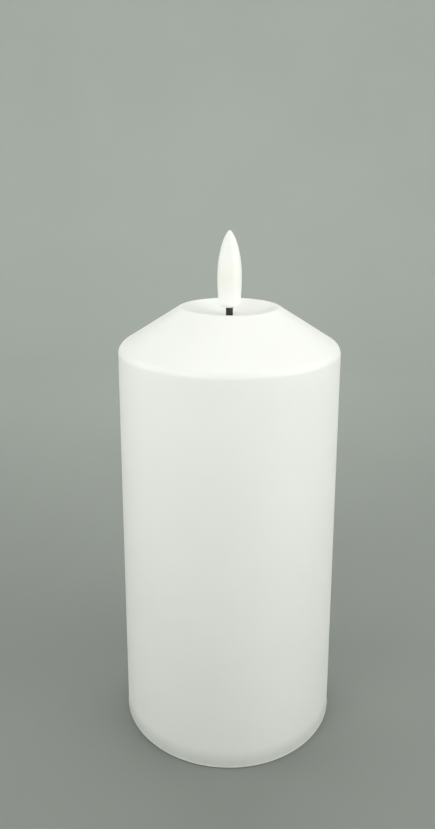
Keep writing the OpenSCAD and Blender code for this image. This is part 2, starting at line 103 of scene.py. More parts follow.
PLATE_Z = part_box("battery_door")[0].z
PLATE_TOP = PLATE_Z + 2 * MM
CELL_R = 7.1 * MM
CELL_Y = 7.5 * MM
DOOR_TOP = 4 * MM
SWITCH_Y = -25 * MM
BOARD_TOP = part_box("timer_board")[1].z
BOARD_SCREWS = [(-11.5 * MM, -27.2 * MM), (11.5 * MM, -27.2 * MM)]
LAMP_PAD_X = 1 * MM
LAMP_PAD_Y = -28.4 * MM
BATTERY_PAD_X = {"red": -8 * MM, "black": -11.5 * MM}
BATTERY_PAD_Y = -20.5 * MM
TAB_SOLDER_Z = 21.9 * MM
TERMINAL_X = [-3.75 * MM, -1.25 * MM, 1.25 * MM, 3.75 * MM]

# ---------------------------------------------------------------- shapes


def arc(centre, radius, start, end, steps=16):
    """Points of an arc in the half plane (distance from the axis, height), angles in radians."""
    turns = [start + (end - start) * i / steps for i in range(steps + 1)]
    return [(centre[0] + radius * cos(a), centre[1] + radius * sin(a)) for a in turns]


def new_object(name, bm, sharp=35):
    """A smooth-shaded object from a bmesh, with edges over the angle sharp, in degrees, kept sharp."""
    bmesh.ops.remove_doubles(bm, verts=bm.verts, dist=WELD)
    bmesh.ops.recalc_face_normals(bm, faces=bm.faces)
    mesh = bpy.data.meshes.new(name)
    bm.to_mesh(mesh)
    bm.free()
    mesh.materials.clear()
    for kept_from_cad in ("custom_normal", "material_index"):
        if kept_from_cad in mesh.attributes:
            mesh.attributes.remove(mesh.attributes[kept_from_cad])
    for face in mesh.polygons:
        face.use_smooth = True
    mesh.set_sharp_from_angle(angle=radians(sharp))
    obj = bpy.data.objects.new(name, mesh)
    bpy.context.scene.collection.objects.link(obj)
    return obj


def add_lathe(bm, outline, segments=96, closed=True, place=Matrix.Identity(4), radius_at=None):
    """Turns an outline of (radius, height) points about Z, and places it.
    radius_at(radius, angle, height) may change the radius of a point."""
    rings = []
    for radius, height in outline:
        if radius < AXIS_R:
            rings.append([bm.verts.new(place @ Vector((0, 0, height)))])
            continue
        ring = []
        for k in range(segments):
            angle = 2 * pi * k / segments
            r = radius_at(radius, angle, height) if radius_at else radius
            ring.append(bm.verts.new(place @ Vector((r * cos(angle), r * sin(angle), height))))
        rings.append(ring)
    pairs = list(zip(rings, rings[1:]))
    if closed:
        pairs.append((rings[-1], rings[0]))
    for a, b in pairs:
        if len(a) == 1 and len(b) == 1:
            continue
        for k in range(segments):
            n = (k + 1) % segments
            if len(a) == 1:
                bm.faces.new((a[0], b[k], b[n]))
            elif len(b) == 1:
                bm.faces.new((a[k], b[0], a[n]))
            else:
                bm.faces.new((a[k], b[k], b[n], a[n]))


def lathe(name, outline, segments=96, sharp=35, place=Matrix.Identity(4), radius_at=None):
    bm = bmesh.new()
    add_lathe(bm, outline, segments, True, place, radius_at)
    return new_object(name, bm, sharp)


def add_sweep(bm, points, radius, sides=16):
    """A round wire along points, its ends closed with a small dome."""
    points = [Vector(p) for p in points]
    last = len(points) - 1
    along = [(points[min(i + 1, last)] - points[max(i - 1, 0)]).normalized() for i in range(last + 1)]
    across = along[0].orthogonal().normalized()
    rings = []
    for i, point in enumerate(points):
        across = (across - along[i] * across.dot(along[i])).normalized()
        other = along[i].cross(across)
        width = radius(i / last) if callable(radius) else radius
        turns = [2 * pi * k / sides for k in range(sides)]
        rings.append([bm.verts.new(point + width * (across * cos(a) + other * sin(a))) for a in turns])
    for a, b in zip(rings, rings[1:]):
        for k in range(sides):
            n = (k + 1) % sides
            bm.faces.new((a[k], a[n], b[n], b[k]))
    for ring, tip, way in ((rings[0], points[0], -along[0]), (rings[-1], points[-1], along[-1])):
        width = (ring[0].co - tip).length
        pole = bm.verts.new(tip + way * width * 0.35)
        for k in range(sides):
            bm.faces.new((ring[k], ring[(k + 1) % sides], pole))


def smooth_path(points, steps):
    """A smooth curve through the points, as the CAD part's wires have."""
    points = [Vector(p) for p in points]
    last = len(points) - 1
    path = []
    for i in range(last):
        a, b = points[max(i - 1, 0)], points[i]
        c, d = points[i + 1], points[min(i + 2, last)]
        for k in range(steps):
            t = k / steps
            path.append(0.5 * (2 * b + (c - a) * t + (2 * a - 5 * b + 4 * c - d) * t * t
                               + (3 * b - a - 3 * c + d) * t ** 3))
    return path + [points[last]]


def add_block(bm, low, high, round_by=0.0, segments=2):
    """A box between two corners, its edges rounded."""
    low, high = Vector(low), Vector(high)
    size = high - low
    place = Matrix.Translation((low + high) / 2) @ Matrix.Diagonal((*size, 1))
    made = bmesh.ops.create_cube(bm, size=1, matrix=place)
    if round_by:
        edges = {edge for vert in made["verts"] for edge in vert.link_edges}
        bmesh.ops.bevel(
            bm, geom=list(edges), offset=round_by, segments=segments, profile=0.5,
            affect="EDGES", clamp_overlap=True,
        )


def softened(name, node, round_by, sharp=25):
    """A CAD node's shape with its sharp edges rounded."""
    bm = bmesh.new()
    bm.from_mesh(frame["nodes"][node].data)
    bmesh.ops.remove_doubles(bm, verts=bm.verts, dist=WELD)
    flat = radians(0.5)
    bmesh.ops.dissolve_limit(bm, angle_limit=flat, verts=bm.verts[:], edges=bm.edges[:])
    obj = new_object(name, bm, sharp)
    bevel = obj.modifiers.new("rounded edges", "BEVEL")
    bevel.width = round_by
    bevel.segments = 2
    bevel.limit_method = "ANGLE"
    bevel.angle_limit = radians(sharp)
    bevel.harden_normals = True
    return obj


def add_placed(bm, part, place):
    """Moves another bmesh to its place and adds it to bm."""
    bmesh.ops.transform(part, matrix=place, verts=part.verts)
    made = bpy.data.meshes.new("placed")
    part.to_mesh(made)
    part.free()
    bm.from_mesh(made)
    bpy.data.meshes.remove(made)


def made_of(name, build, sharp=40):
    """A new object from what build(bm) adds to an empty bmesh."""
    bm = bmesh.new()
    build(bm)
    return new_object(name, bm, sharp)


def turned_to_x(origin, towards=1):
    """Places a lathe's Z axis along X, from origin, towards +X or -X."""
    return Matrix.Translation(Vector(origin)) @ Matrix.Rotation(towards * pi / 2, 4, "Y")


# ---------------------------------------------------------------- materials


def put(tree, kind, inputs=(), **settings):
    """Adds a shader node, with its settings and its inputs set or linked."""
    made = tree.nodes.new(kind)
    for name, value in settings.items():
        setattr(made, name, value)
    for name, value in dict(inputs).items():
        if isinstance(value, bpy.types.NodeSocket):
            tree.links.new(value, made.inputs[name])
        else:
            made.inputs[name].default_value = value
    return made


def noise_at(tree, size, detail=3.0, stretch=(1, 1, 1), seed=0.0):
    """Noise in object coordinates whose features are about size across."""
    where = put(tree, "ShaderNodeTexCoord").outputs["Object"]
    scaled = put(tree, "ShaderNodeMapping", {
        "Vector": where, "Scale": [s / size for s in stretch], "Location": (seed, seed, seed),
    })
    pattern = put(tree, "ShaderNodeTexNoise", {
        "Vector": scaled.outputs[0], "Scale": 1.0, "Detail": detail, "Roughness": 0.55,
    })
    return pattern.outputs[0]


def spread(tree, value, low, high, start=0.3, end=0.7):
    """Maps a noise value to the range from low to high."""
    return put(tree, "ShaderNodeMapRange", {
        "Value": value, "From Min": start, "From Max": end, "To Min": low, "To Max": high,
    }).outputs[0]


def blended(tree, share, a, b):
    """A colour between a and b."""
    made = put(tree, "ShaderNodeMix", {0: share, 6: a, 7: b}, data_type="RGBA")
    return made.outputs[2]


def rgba(colour, times=1.0):
    return (*[min(1.0, c * times) for c in colour], 1.0)


def surface(name, colour, rough, *, mottle=14 * MM, vary=0.03, grain=0.5 * MM, relief=0.006 * MM,
            rough_vary=0.06, stretch=(1, 1, 1), metallic=0.0, coat=0.0, inside=0.0, ior=1.5):
    """A surface with slow colour mottling, uneven roughness and fine relief.
    inside is the share of light that scatters under the surface. Returns (material, colour socket)."""
    material = bpy.data.materials.new(name)
    material.use_nodes = True
    tree = material.node_tree
    shader = tree.nodes["Principled BSDF"]
    slow = noise_at(tree, mottle, seed=3.0)
    colour_out = blended(tree, spread(tree, slow, 0, 1), rgba(colour, 1 - vary), rgba(colour, 1 + vary))
    tree.links.new(colour_out, shader.inputs["Base Color"])
    patchy = noise_at(tree, mottle * 0.4, seed=7.0, stretch=stretch)
    rough_out = spread(tree, patchy, max(0.02, rough - rough_vary), min(1.0, rough + rough_vary))
    tree.links.new(rough_out, shader.inputs["Roughness"])
    fine = noise_at(tree, grain, detail=2.0, stretch=stretch, seed=11.0)
    bump = put(tree, "ShaderNodeBump", {"Height": fine, "Distance": relief, "Strength": 1.0})
    tree.links.new(bump.outputs[0], shader.inputs["Normal"])
    shader.inputs["Metallic"].default_value = metallic
    shader.inputs["Coat Weight"].default_value = coat
    shader.inputs["Coat Roughness"].default_value = 0.12
    shader.inputs["IOR"].default_value = ior
    shader.inputs["Subsurface Weight"].default_value = inside
    shader.inputs["Subsurface Radius"].default_value = (1.0, 0.95, 0.85)
    shader.inputs["Subsurface Scale"].default_value = 1.5 * MM
    return material, colour_out


def recolour(material, colour_out):
    """Makes a colour socket the material's base colour."""
    tree = material.node_tree
    tree.links.new(colour_out, tree.nodes["Principled BSDF"].inputs["Base Color"])


def specks(material, below, colour, cell, size, share):
    """Rare small specks: one in a few Voronoi cells of width cell has a dot of that size."""
    tree = material.node_tree
    where = put(tree, "ShaderNodeTexCoord").outputs["Object"]
    cells = put(tree, "ShaderNodeTexVoronoi", {"Vector": where, "Scale": 1 / cell})
    near = put(tree, "ShaderNodeMath", {0: cells.outputs["Distance"], 1: size / cell},
               operation="LESS_THAN").outputs[0]
    luck = put(tree, "ShaderNodeSeparateColor", {0: cells.outputs["Color"]}).outputs[0]
    picked = put(tree, "ShaderNodeMath", {0: luck, 1: share}, operation="LESS_THAN").outputs[0]
    here = put(tree, "ShaderNodeMath", {0: near, 1: picked}, operation="MULTIPLY").outputs[0]
    colour_out = blended(tree, here, below, rgba(colour))
    recolour(material, colour_out)
    return colour_out


def height_band(tree, middle, half_width):
    """1 at a height and 0 half_width away from it."""
    where = put(tree, "ShaderNodeTexCoord").outputs["Object"]
    z = put(tree, "ShaderNodeSeparateXYZ", {0: where}).outputs[2]
    off = put(tree, "ShaderNodeMath", {0: z, 1: middle}, operation="SUBTRACT").outputs[0]
    away = put(tree, "ShaderNodeMath", {0: off}, operation="ABSOLUTE").outputs[0]
    return put(tree, "ShaderNodeMapRange", {
        "Value": away, "From Min": 0.0, "From Max": half_width, "To Min": 1.0, "To Max": 0.0,
    }, interpolation_type="SMOOTHSTEP").outputs[0]


def candle_white():
    """Satin white moulding with a few specks of dust, painted shade that darkens it towards the foot,
    and a painted highlight along the foot's edge.
    """
    material, colour = surface(
        "candle white", (0.888, 0.892, 0.85), 0.42, mottle=22 * MM, vary=0.008,
        grain=0.7 * MM, relief=0.004 * MM, rough_vary=0.05, inside=0.25,
    )
    colour = specks(material, colour, (0.6, 0.6, 0.55), 9 * MM, 0.14 * MM, 0.3)
    tree = material.node_tree
    # Painted shade: the colour darkens patchily towards the foot, in place of the shade near the floor.
    painted_foot_shade = height_band(tree, 0.6 * MM, 7 * MM)
    shade_patches = spread(tree, noise_at(tree, 6 * MM, seed=5.0), 0.75, 1.0)
    share = put(tree, "ShaderNodeMath", {0: painted_foot_shade, 1: shade_patches}, operation="MULTIPLY").outputs[0]
    colour = blended(tree, share, colour, rgba((0.68, 0.69, 0.66)))
    # Painted highlight: a lighter line of colour along the foot's edge.
    painted_foot_highlight = height_band(tree, 0.2 * MM, 0.8 * MM)
    recolour(material, blended(tree, painted_foot_highlight, colour, rgba((0.9, 0.9, 0.86))))
    return material


def flame_white():
    """Frosted translucent white, with a trace of the lamp's yellow where the lamp sits."""
    material, colour = surface(
        "flame frosted", (0.885, 0.888, 0.853), 0.4, mottle=5 * MM, vary=0.012,
        grain=0.25 * MM, relief=0.004 * MM, inside=0.6,
    )
    tree = material.node_tree
    tree.nodes["Principled BSDF"].inputs["Subsurface Scale"].default_value = 2.5 * MM
    lamp = height_band(tree, FLAME_LOW.z + FLAME_BELLY, 6 * MM)
    share = put(tree, "ShaderNodeMath", {0: lamp, 1: 0.5}, operation="MULTIPLY").outputs[0]
    recolour(material, blended(tree, share, colour, rgba((0.9, 0.87, 0.79))))
    return material


def moulded(name, colour, rough=0.45, relief=0.012 * MM):
    """Injection-moulded plastic with a spark-eroded texture."""
    return surface(name, colour, rough, mottle=9 * MM, vary=0.02, grain=0.35 * MM, relief=relief)[0]


def metal(name, colour, rough, stretch=(1, 1, 1), relief=0.003 * MM):
    """Bare metal with drawn or tumbled marks."""
    return surface(
        name, colour, rough, mottle=4 * MM, vary=0.06, grain=0.12 * MM, relief=relief,
        rough_vary=0.1, stretch=stretch, metallic=1.0,
    )[0]


def wick_black_cloth():
    """Black sleeve with the crossed threads of a braid in its relief."""
    material, _ = surface("wick black", (0.018, 0.019, 0.018), 0.6, mottle=1.5 * MM, vary=0.2,
                          grain=0.12 * MM, relief=0.02 * MM)
    return material


def solder_mask():
    """Green lacquer over copper that shows through as slightly lighter bands."""
    material, colour = surface("board green", (0.012, 0.13, 0.05), 0.28, mottle=6 * MM, vary=0.08,
                               grain=0.3 * MM, relief=0.004 * MM, coat=0.3)
    tree = material.node_tree
    where = put(tree, "ShaderNodeTexCoord").outputs["Object"]
    tracks = put(tree, "ShaderNodeTexBrick", {
        "Vector": where, "Color1": rgba((1, 1, 1)), "Color2": rgba((0.8, 0.8, 0.8)),
        "Mortar": rgba((0, 0, 0)), "Scale": 1 / (3.2 * MM), "Mortar Size": 0.035,
        "Brick Width": 0.9, "Row Height": 0.45,
    }).outputs[0]
    recolour(material, blended(tree, tracks, rgba((0.03, 0.22, 0.09)), colour))
    return material


def wrapped(name, colour):
    """Shrunk plastic wrap of a cell."""
    return surface(name, colour, 0.22, mottle=6 * MM, vary=0.04, grain=1.2 * MM,
                   relief=0.02 * MM, coat=0.5)[0]


MATERIALS = {
    "candle_body": candle_white(),
    "flame_frosted": flame_white(),
    "wick_black": wick_black_cloth(),
    "base_plastic": moulded("base plastic", (0.80, 0.81, 0.77)),
    "board_white": moulded("board white", (0.82, 0.82, 0.80), 0.35),
    "led_phosphor": moulded("phosphor", (0.86, 0.62, 0.10), 0.3),
    "lead_red": moulded("red insulation", (0.52, 0.02, 0.015), 0.32, 0.004 * MM),
    "lead_black": moulded("black insulation", (0.02, 0.02, 0.02), 0.32, 0.004 * MM),
    "screw_steel": metal("zinc-plated steel", (0.60, 0.60, 0.58), 0.32),
    "cell_can": metal("cell can", (0.70, 0.69, 0.67), 0.26, (0.15, 1, 1)),
    "cell_label": wrapped("cell wrap", (0.10, 0.20, 0.30)),
    "cell_band": wrapped("cell band", (0.70, 0.70, 0.68)),
    "contact_nickel": metal("nickel strip", (0.68, 0.65, 0.60), 0.3, (1, 0.12, 1)),
    "board_green": solder_mask(),
    "solder": metal("solder", (0.66, 0.66, 0.66), 0.22),
    "component_black": moulded("component black", (0.025, 0.025, 0.027), 0.55),
    "capacitor_sleeve": wrapped("capacitor sleeve", (0.02, 0.03, 0.10)),
    "switch_phenolic": moulded("phenolic board", (0.26, 0.13, 0.055), 0.5, 0.02 * MM),
    "knob_black": moulded("knob black", (0.02, 0.02, 0.021), 0.42),
    "wiper_brass": metal("wiper brass", (0.74, 0.52, 0.24), 0.2),
}


def dress(obj, slot, body="candle", stands_for=(), material=None):
    """Gives a new piece the material named by slot, or by material if given, puts it on its body and
    hides the CAD nodes it stands for.
    """
    obj.data.materials.append(MATERIALS[material or slot])
    if obj.parent is None:
        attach(obj, body)
    if stands_for:
        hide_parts(*stands_for)
    return obj


# ---------------------------------------------------------------- candle, flame and wick


def shell_outline():
    """Half section of the moulded body, from the foot over the shoulder and dish and back inside."""
    cone = math.atan2(SHOULDER_RISE, BODY_R - RIM_R)
    shoulder_z = BODY_H - SHOULDER_RISE
    rim_centre_r = RIM_R - WALL * tan(cone / 2)
    dish_span = (rim_centre_r ** 2 + DISH_DEPTH ** 2) / (2 * DISH_DEPTH)
    dish_r = dish_span - WALL
    dish_centre = (0, BODY_H - DISH_DEPTH + dish_r)
    dish_tilt = asin(rim_centre_r / dish_span)
    under_r = dish_r + WALL
    ceiling = dish_centre[1] - under_r
    shoulder_arc_z = shoulder_z - SHOULDER_ROUND * tan((pi / 2 - cone) / 2)
    inner_cone_z = shoulder_z - WALL / cos(cone) + WALL * tan(cone)
    boss_top = dish_centre[1] - sqrt(under_r ** 2 - SOCKET_BOSS_R ** 2)

    foot = arc((BODY_R - FOOT_ROUND, FOOT_ROUND), FOOT_ROUND, -pi / 2, 0, 8)
    foot += arc((BODY_R, FOOT_ROUND), FOOT_LIP, 0, pi / 2, 4)
    side_steps = 24
    side = [(BODY_R, FOOT_ROUND + (shoulder_arc_z - FOOT_ROUND) * i / side_steps)
            for i in range(1, side_steps)]
    shoulder = arc((BODY_R - SHOULDER_ROUND, shoulder_arc_z), SHOULDER_ROUND, 0, pi / 2 - cone, 20)
    rim = arc((rim_centre_r, BODY_H - WALL), WALL, pi / 2 - cone, pi / 2 + dish_tilt, 20)
    dish = arc(dish_centre, dish_r, dish_tilt - pi / 2, asin(WICK_HOLE_R / dish_r) - pi / 2, 24)
    socket = [
        (WICK_HOLE_R, ceiling), (SOCKET_R, ceiling), (SOCKET_R, ceiling - SOCKET_H),
        (SOCKET_BOSS_R, ceiling - SOCKET_H), (SOCKET_BOSS_R, boss_top),
    ]
    under = arc(dish_centre, under_r, asin(SOCKET_BOSS_R / under_r) - pi / 2, dish_tilt - pi / 2, 12)
    inner = [(INNER_R, inner_cone_z), (INNER_R, BODY_H / 2), (INNER_R, 0)]
    return foot + side + shoulder + rim + dish + socket + under[1:] + inner


def moulding_waves(radius, angle, height):
    """The body's outside is a few hundredths of a millimetre uneven, as a moulding is."""
    wave_depth, wave_height, waves_round = 0.04 * MM, 30 * MM, 1.3
    if radius < INNER_R + WALL / 4:
        return radius
    spot = Vector((cos(angle), sin(angle), height / wave_height))
    return radius - wave_depth * (0.5 + 0.5 * noise.noise(spot * waves_round))


def candle_body():
    obj = lathe("candle_body", shell_outline(), 256, 35, radius_at=moulding_waves)
    dress(obj, "candle_body", "candle", ["candle_shell"])


def screw_posts():
    """The three posts inside the body that take the base screws, each with its rib."""
    post_low, post_high = 6.5 * MM, 26.5 * MM
    post_r, pilot_r, pilot_depth, edge = 3.2 * MM, 1.1 * MM, 11 * MM, 0.2 * MM
    bm = bmesh.new()
    outline = [
        (pilot_r, post_low), (post_r - edge, post_low), (post_r, post_low + edge),
        (post_r, post_high - edge), (post_r - edge, post_high), (0, post_high),
        (0, post_low + pilot_depth), (pilot_r, post_low + pilot_depth),
    ]
    for turn in SCREW_ANGLES:
        spin = Matrix.Rotation(turn, 4, "Z")
        add_lathe(bm, outline, 40, True, spin @ Matrix.Translation((SCREW_R, 0, 0)))
        rib = bmesh.new()
        add_block(rib, (SCREW_R + 3 * MM, -WALL / 2, post_low),
                  (INNER_R + 0.5 * MM, WALL / 2, post_high), edge)
        add_placed(bm, rib, spin)
    dress(new_object("screw_posts", bm), "candle_body", "candle")


def flame_outline():
    """Half section of the hollow flame: rounded foot, nearly straight side, pointed arch."""
    length = FLAME_HIGH.z - FLAME_LOW.z
    side_start = FLAME_FOOT_ROUND * 1.05
    foot_drop = (FLAME_BELLY - side_start) ** 2 / (2 * FLAME_SIDE_R)
    mouth_r, mouth_h = WICK_R + 0.02 * MM, 1.8 * MM
    cavity_r, cavity_h = 1.75 * MM, 6 * MM
    foot = arc((FLAME_R - foot_drop - FLAME_FOOT_ROUND, FLAME_FOOT_ROUND), FLAME_FOOT_ROUND,
               -pi / 2, 0, 14)
    side_steps = 12
    drops = [(FLAME_BELLY - side_start) * (1 - i / side_steps) for i in range(1, side_steps)]
    side = [(FLAME_R - h * h / (2 * FLAME_SIDE_R), FLAME_BELLY - h) for h in drops]
    upper_steps = 40
    rises = [sin(pi / 2 * i / upper_steps) for i in range(upper_steps)]
    upper = [(FLAME_R * (1 - t * t) ** FLAME_POWER, FLAME_BELLY + (length - FLAME_BELLY) * t)
             for t in rises]
    cavity = arc((0, mouth_h + cavity_h), cavity_r, pi / 2, 0, 12)
    outline = [(mouth_r, 0)] + foot + side + upper + [(0, length)]
    outline += [(0, cavity[0][1])] + cavity[1:] + [(cavity_r, mouth_h), (mouth_r, mouth_h)]
    return [(r, z + FLAME_LOW.z) for r, z in outline]


def flame_piece():
    dress(lathe("flame_bullet", flame_outline(), 128), "flame_frosted", "candle", ["flame"])


def wick_piece():
    """The sleeve, with the crossed ridges of its braid."""
    ridge = 0.05 * MM
    strands = 10
    steps = 120
    length = WICK_HIGH.z - WICK_LOW.z

    def braided(radius, angle, height):
        if radius < WICK_R - ridge:
            return radius
        lay = 2 * pi * (height - WICK_LOW.z) / (2.4 * MM)
        over = max(sin(strands * angle + lay), sin(strands * angle - lay))
        return WICK_R - ridge * (1 - 0.5 * (1 + over))

    outside = [(WICK_R, WICK_LOW.z + length * i / steps) for i in range(steps + 1)]
    bore = [(WICK_BORE_R, WICK_HIGH.z), (WICK_BORE_R, WICK_LOW.z)]
    obj = lathe("wick_braid", outside + bore, 80, 60, radius_at=braided)
    dress(obj, "wick_black", "candle", ["wick_sleeve"])


def plug_piece():
    """The plug that grips the sleeve under the dish, with grip ribs round it."""
    low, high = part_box("wick_holder")
    bore = WICK_R + 0.02 * MM
    plug_r, flange_r = 3.25 * MM, high.x
    seat = low.z + 1.5 * MM
    outline = [
        (bore, low.z), (flange_r - 0.3 * MM, low.z), (flange_r, low.z + 0.3 * MM),
        (flange_r, seat - 0.2 * MM), (flange_r - 0.2 * MM, seat), (plug_r, seat),
        (plug_r, high.z - 0.5 * MM), (plug_r - 0.5 * MM, high.z), (bore, high.z),
    ]

    def ribbed(radius, angle, height):
        if radius < plug_r - 0.01 * MM or height < seat:
            return radius
        return radius - 0.12 * MM * (0.5 + 0.5 * cos(12 * angle))

    obj = lathe("wick_plug", outline, 144, radius_at=ribbed)
    dress(obj, "base_plastic", "candle", ["wick_holder"])


def lamp_pieces():
    """The round board in the flame's root and the lamp on it."""
    low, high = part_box("led_board")
    r = high.x
    outline = [(0, low.z), (r - 0.08 * MM, low.z), (r, low.z + 0.08 * MM), (r, high.z - 0.08 * MM),
               (r - 0.08 * MM, high.z), (0, high.z)]
    dress(lathe("lamp_board", outline, 64), "board_white", "candle", ["led_board"])
    low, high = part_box("led_chip")
    case = bmesh.new()
    add_block(case, low, (high.x, high.y, high.z - 0.12 * MM), 0.06 * MM)
    dress(new_object("lamp_case", case), "board_white", "candle", ["led_chip"])
    glow = bmesh.new()
    inset = 0.2 * MM
    add_block(glow, (low.x + inset, low.y + inset, high.z - 0.2 * MM),
              (high.x - inset, high.y - inset, high.z), 0.08 * MM, 3)
    dress(new_object("lamp_phosphor", glow), "led_phosphor", "candle")


def lamp_leads():
    """The two insulated leads from the board up the front wall and over into the wick."""
    pad_x, pad_y, end_x = LAMP_PAD_X, LAMP_PAD_Y, 0.38 * MM
    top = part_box("led_lead_red")[1].z
    for side, name in ((-1, "red"), (1, "black")):
        route = [
            (side * pad_x, pad_y, BOARD_TOP + 0.1 * MM),
            (side * pad_x, pad_y, 20 * MM),
            (side * pad_x, pad_y - 1 * MM, 45 * MM),
            (side * pad_x, pad_y - 1 * MM, 75 * MM),
            (side * pad_x, pad_y - 0.5 * MM, BODY_H - 50 * MM),
            (side * 0.9 * MM, -23 * MM, BODY_H - 36 * MM),
            (side * 0.7 * MM, -12 * MM, BODY_H - 27 * MM),
            (side * end_x, -3.5 * MM, BODY_H - 22 * MM),
            (side * end_x, 0, BODY_H - 16 * MM),
            (side * end_x, 0, BODY_H - 13.5 * MM),
            (side * end_x, 0, top),
        ]
        bm = bmesh.new()
        add_sweep(bm, smooth_path(route, 10), 0.35 * MM, 14)
        dress(new_object(f"lamp_lead_{name}", bm), f"lead_{name}", "candle", [f"led_lead_{name}"])


# ---------------------------------------------------------------- base, door and latch


def add_helix(bm, centre, radius, pitch, turns, wire_r, direction=1):
    """A thread or coil about a vertical axis through centre, rising from it."""
    steps = 24
    end_share, taper = 0.2, 6  # a fifth of the thickness at the ends, all of it after about an eighth
    path = []
    for i in range(int(turns * steps) + 1):
        a = 2 * pi * i / steps
        step = Vector((radius * cos(a), radius * sin(a), direction * pitch * i / steps))
        path.append(Vector(centre) + step)

    def thickness(t):
        return wire_r * min(1.0, end_share + taper * t, end_share + taper * (1 - t))

    add_sweep(bm, path, thickness, 6)


def add_ring(bm, centre, radius, width, height):
    """A flat raised ring on a downward or upward face, height tall from centre."""
    x, y, z = centre
    half = width / 2
    outline = [(radius - half, 0), (radius + half, 0), (radius + half * 0.8, height),
               (radius - half * 0.8, height)]
    add_lathe(bm, outline, 48, True, Matrix.Translation((x, y, z)))


def add_bar(bm, centre, length, width, height, turn=0.0):
    """A raised bar on a face, height tall from centre, turned about Z."""
    bar = bmesh.new()
    low_z, high_z = min(0, height), max(0, height)
    add_block(bar, (-length / 2, -width / 2, low_z), (length / 2, width / 2, high_z),
              min(width, abs(height)) * 0.25)
    add_placed(bm, bar, Matrix.Translation(centre) @ Matrix.Rotation(turn, 4, "Z"))


def switch_symbols(bm):
    """Bar, ring and clock face moulded beside the three places of the switch."""
    y = SWITCH_Y - 6.1 * MM
    relief = -0.25 * MM
    sink = 0.05 * MM
    step = 4.2 * MM
    add_bar(bm, (-step, y, PLATE_Z + sink), 2.2 * MM, 0.45 * MM, relief, pi / 2)
    add_ring(bm, (0, y, PLATE_Z + sink), 0.95 * MM, 0.4 * MM, relief)
    add_ring(bm, (step, y, PLATE_Z + sink), 1.15 * MM, 0.3 * MM, relief)
    add_bar(bm, (step + 0.3 * MM, y, PLATE_Z + sink), 0.75 * MM, 0.22 * MM, relief)
    add_bar(bm, (step, y + 0.35 * MM, PLATE_Z + sink), 0.85 * MM, 0.22 * MM, relief, pi / 2)


def base_pieces():
    dress(softened("base_moulding", "base_housing", 0.14 * MM), "base_plastic", "candle",
          ["base_housing"])
    dress(made_of("switch_symbols", switch_symbols), "base_plastic", "candle")


def door_marks(bm):
    """Ribs and an arrow for the thumb outside, and the cells' polarity signs inside."""
    sink = 0.05 * MM
    for i in range(4):
        add_bar(bm, (0, (9.5 + 1.2 * i) * MM, PLATE_Z + sink), (9 - 1.2 * i) * MM, 0.5 * MM, -0.3 * MM)
    inside = DOOR_TOP - sink
    for x_side in (-1, 1):
        for y_side in (-1, 1):
            spot = (x_side * 21 * MM, y_side * CELL_Y, inside)
            turns = (0, pi / 2) if x_side * y_side < 0 else (0,)
            for turn in turns:
                add_bar(bm, spot, 3.2 * MM, 0.6 * MM, 0.25 * MM, turn)


def latch_ribs(bm):
    low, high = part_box("door_latch")
    for i in range(3):
        z = PLATE_Z + (0.5 + 0.5 * i) * MM
        add_block(bm, (low.x + 0.8 * MM, high.y - 0.35 * MM, z),
                  (high.x - 0.8 * MM, high.y - 0.1 * MM, z + 0.2 * MM), 0.05 * MM)


def door_pieces():
    dress(softened("door_moulding", "battery_door", 0.12 * MM), "base_plastic", "door",
          ["battery_door"])
    dress(made_of("door_marks", door_marks), "base_plastic", "door")
    dress(softened("latch_tongue", "door_latch", 0.1 * MM), "base_plastic", "latch", ["door_latch"])
    dress(made_of("latch_ribs", latch_ribs), "base_plastic", "latch")


def screw_pieces():
    """Pan head screws, with the thread round each shank."""

    def base_threads(bm):
        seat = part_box("base_screws")[0].z + 1.7 * MM
        for turn in SCREW_ANGLES:
            add_helix(bm, (SCREW_R * cos(turn), SCREW_R * sin(turn), seat + 1 * MM),
                      1.07 * MM, 0.9 * MM, 8, 0.16 * MM)

    def board_threads(bm):
        for x, y in BOARD_SCREWS:
            add_helix(bm, (x, y, BOARD_TOP - 0.6 * MM), 0.76 * MM, 0.6 * MM, 5, 0.11 * MM, -1)

    dress(softened("base_screw_heads", "base_screws", 0.15 * MM), "screw_steel", "candle",
          ["base_screws"])
    dress(made_of("base_screw_threads", base_threads), "screw_steel", "candle")
    dress(softened("board_screw_heads", "board_screws", 0.08 * MM), "screw_steel", "candle",
          ["board_screws"])
    dress(made_of("board_screw_threads", board_threads), "screw_steel", "candle")


# ---------------------------------------------------------------- cells, contacts and wires


def cell_pieces():
    """Each cell: its steel can with rolled ends, and the wrap shrunk round it in two colours.
    The outlines are in millimetres: distance from the cell's axis, and from its flat end."""
    can = [(0, 0), (5.5, 0), (5.75, 0.22), (6.3, 0.3), (6.8, 0.55), (6.95, 1.0), (6.95, 48.0),
           (6.75, 48.65), (6.0, 48.95), (3.3, 49.05), (2.85, 49.2), (2.65, 49.5), (2.65, 50.2),
           (2.42, 50.5), (0, 50.5)]
    band_start = 38.5
    wrap = [(6.97, 0.45), (7.08, 0.6), (7.1, 0.9), (7.1, band_start), (6.97, band_start)]
    band = [(6.97, band_start), (7.1, band_start), (7.1, 48.2), (7.0, 48.65), (6.5, 48.98),
            (6.3, 49.05), (6.3, 48.92), (6.97, 48.0)]
    for name, towards in (("front", 1), ("back", -1)):
        node = f"aa_cell_{name}"
        low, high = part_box(node)
        start = low.x if towards > 0 else high.x
        place = turned_to_x((start, (low.y + high.y) / 2, (low.z + high.z) / 2), towards)
        for part, outline, slot in (("can", can, "cell_can"), ("wrap", wrap, "cell_label"),
                                    ("band", band, "cell_band")):
            points = [(r * MM, z * MM) for r, z in outline]
            obj = lathe(f"cell_{part}_{name}", points, 96, 40, place)
            stands_for = [node] if part == "can" else []
            dress(obj, "cell_label" if part == "band" else slot, "candle", stands_for, slot)


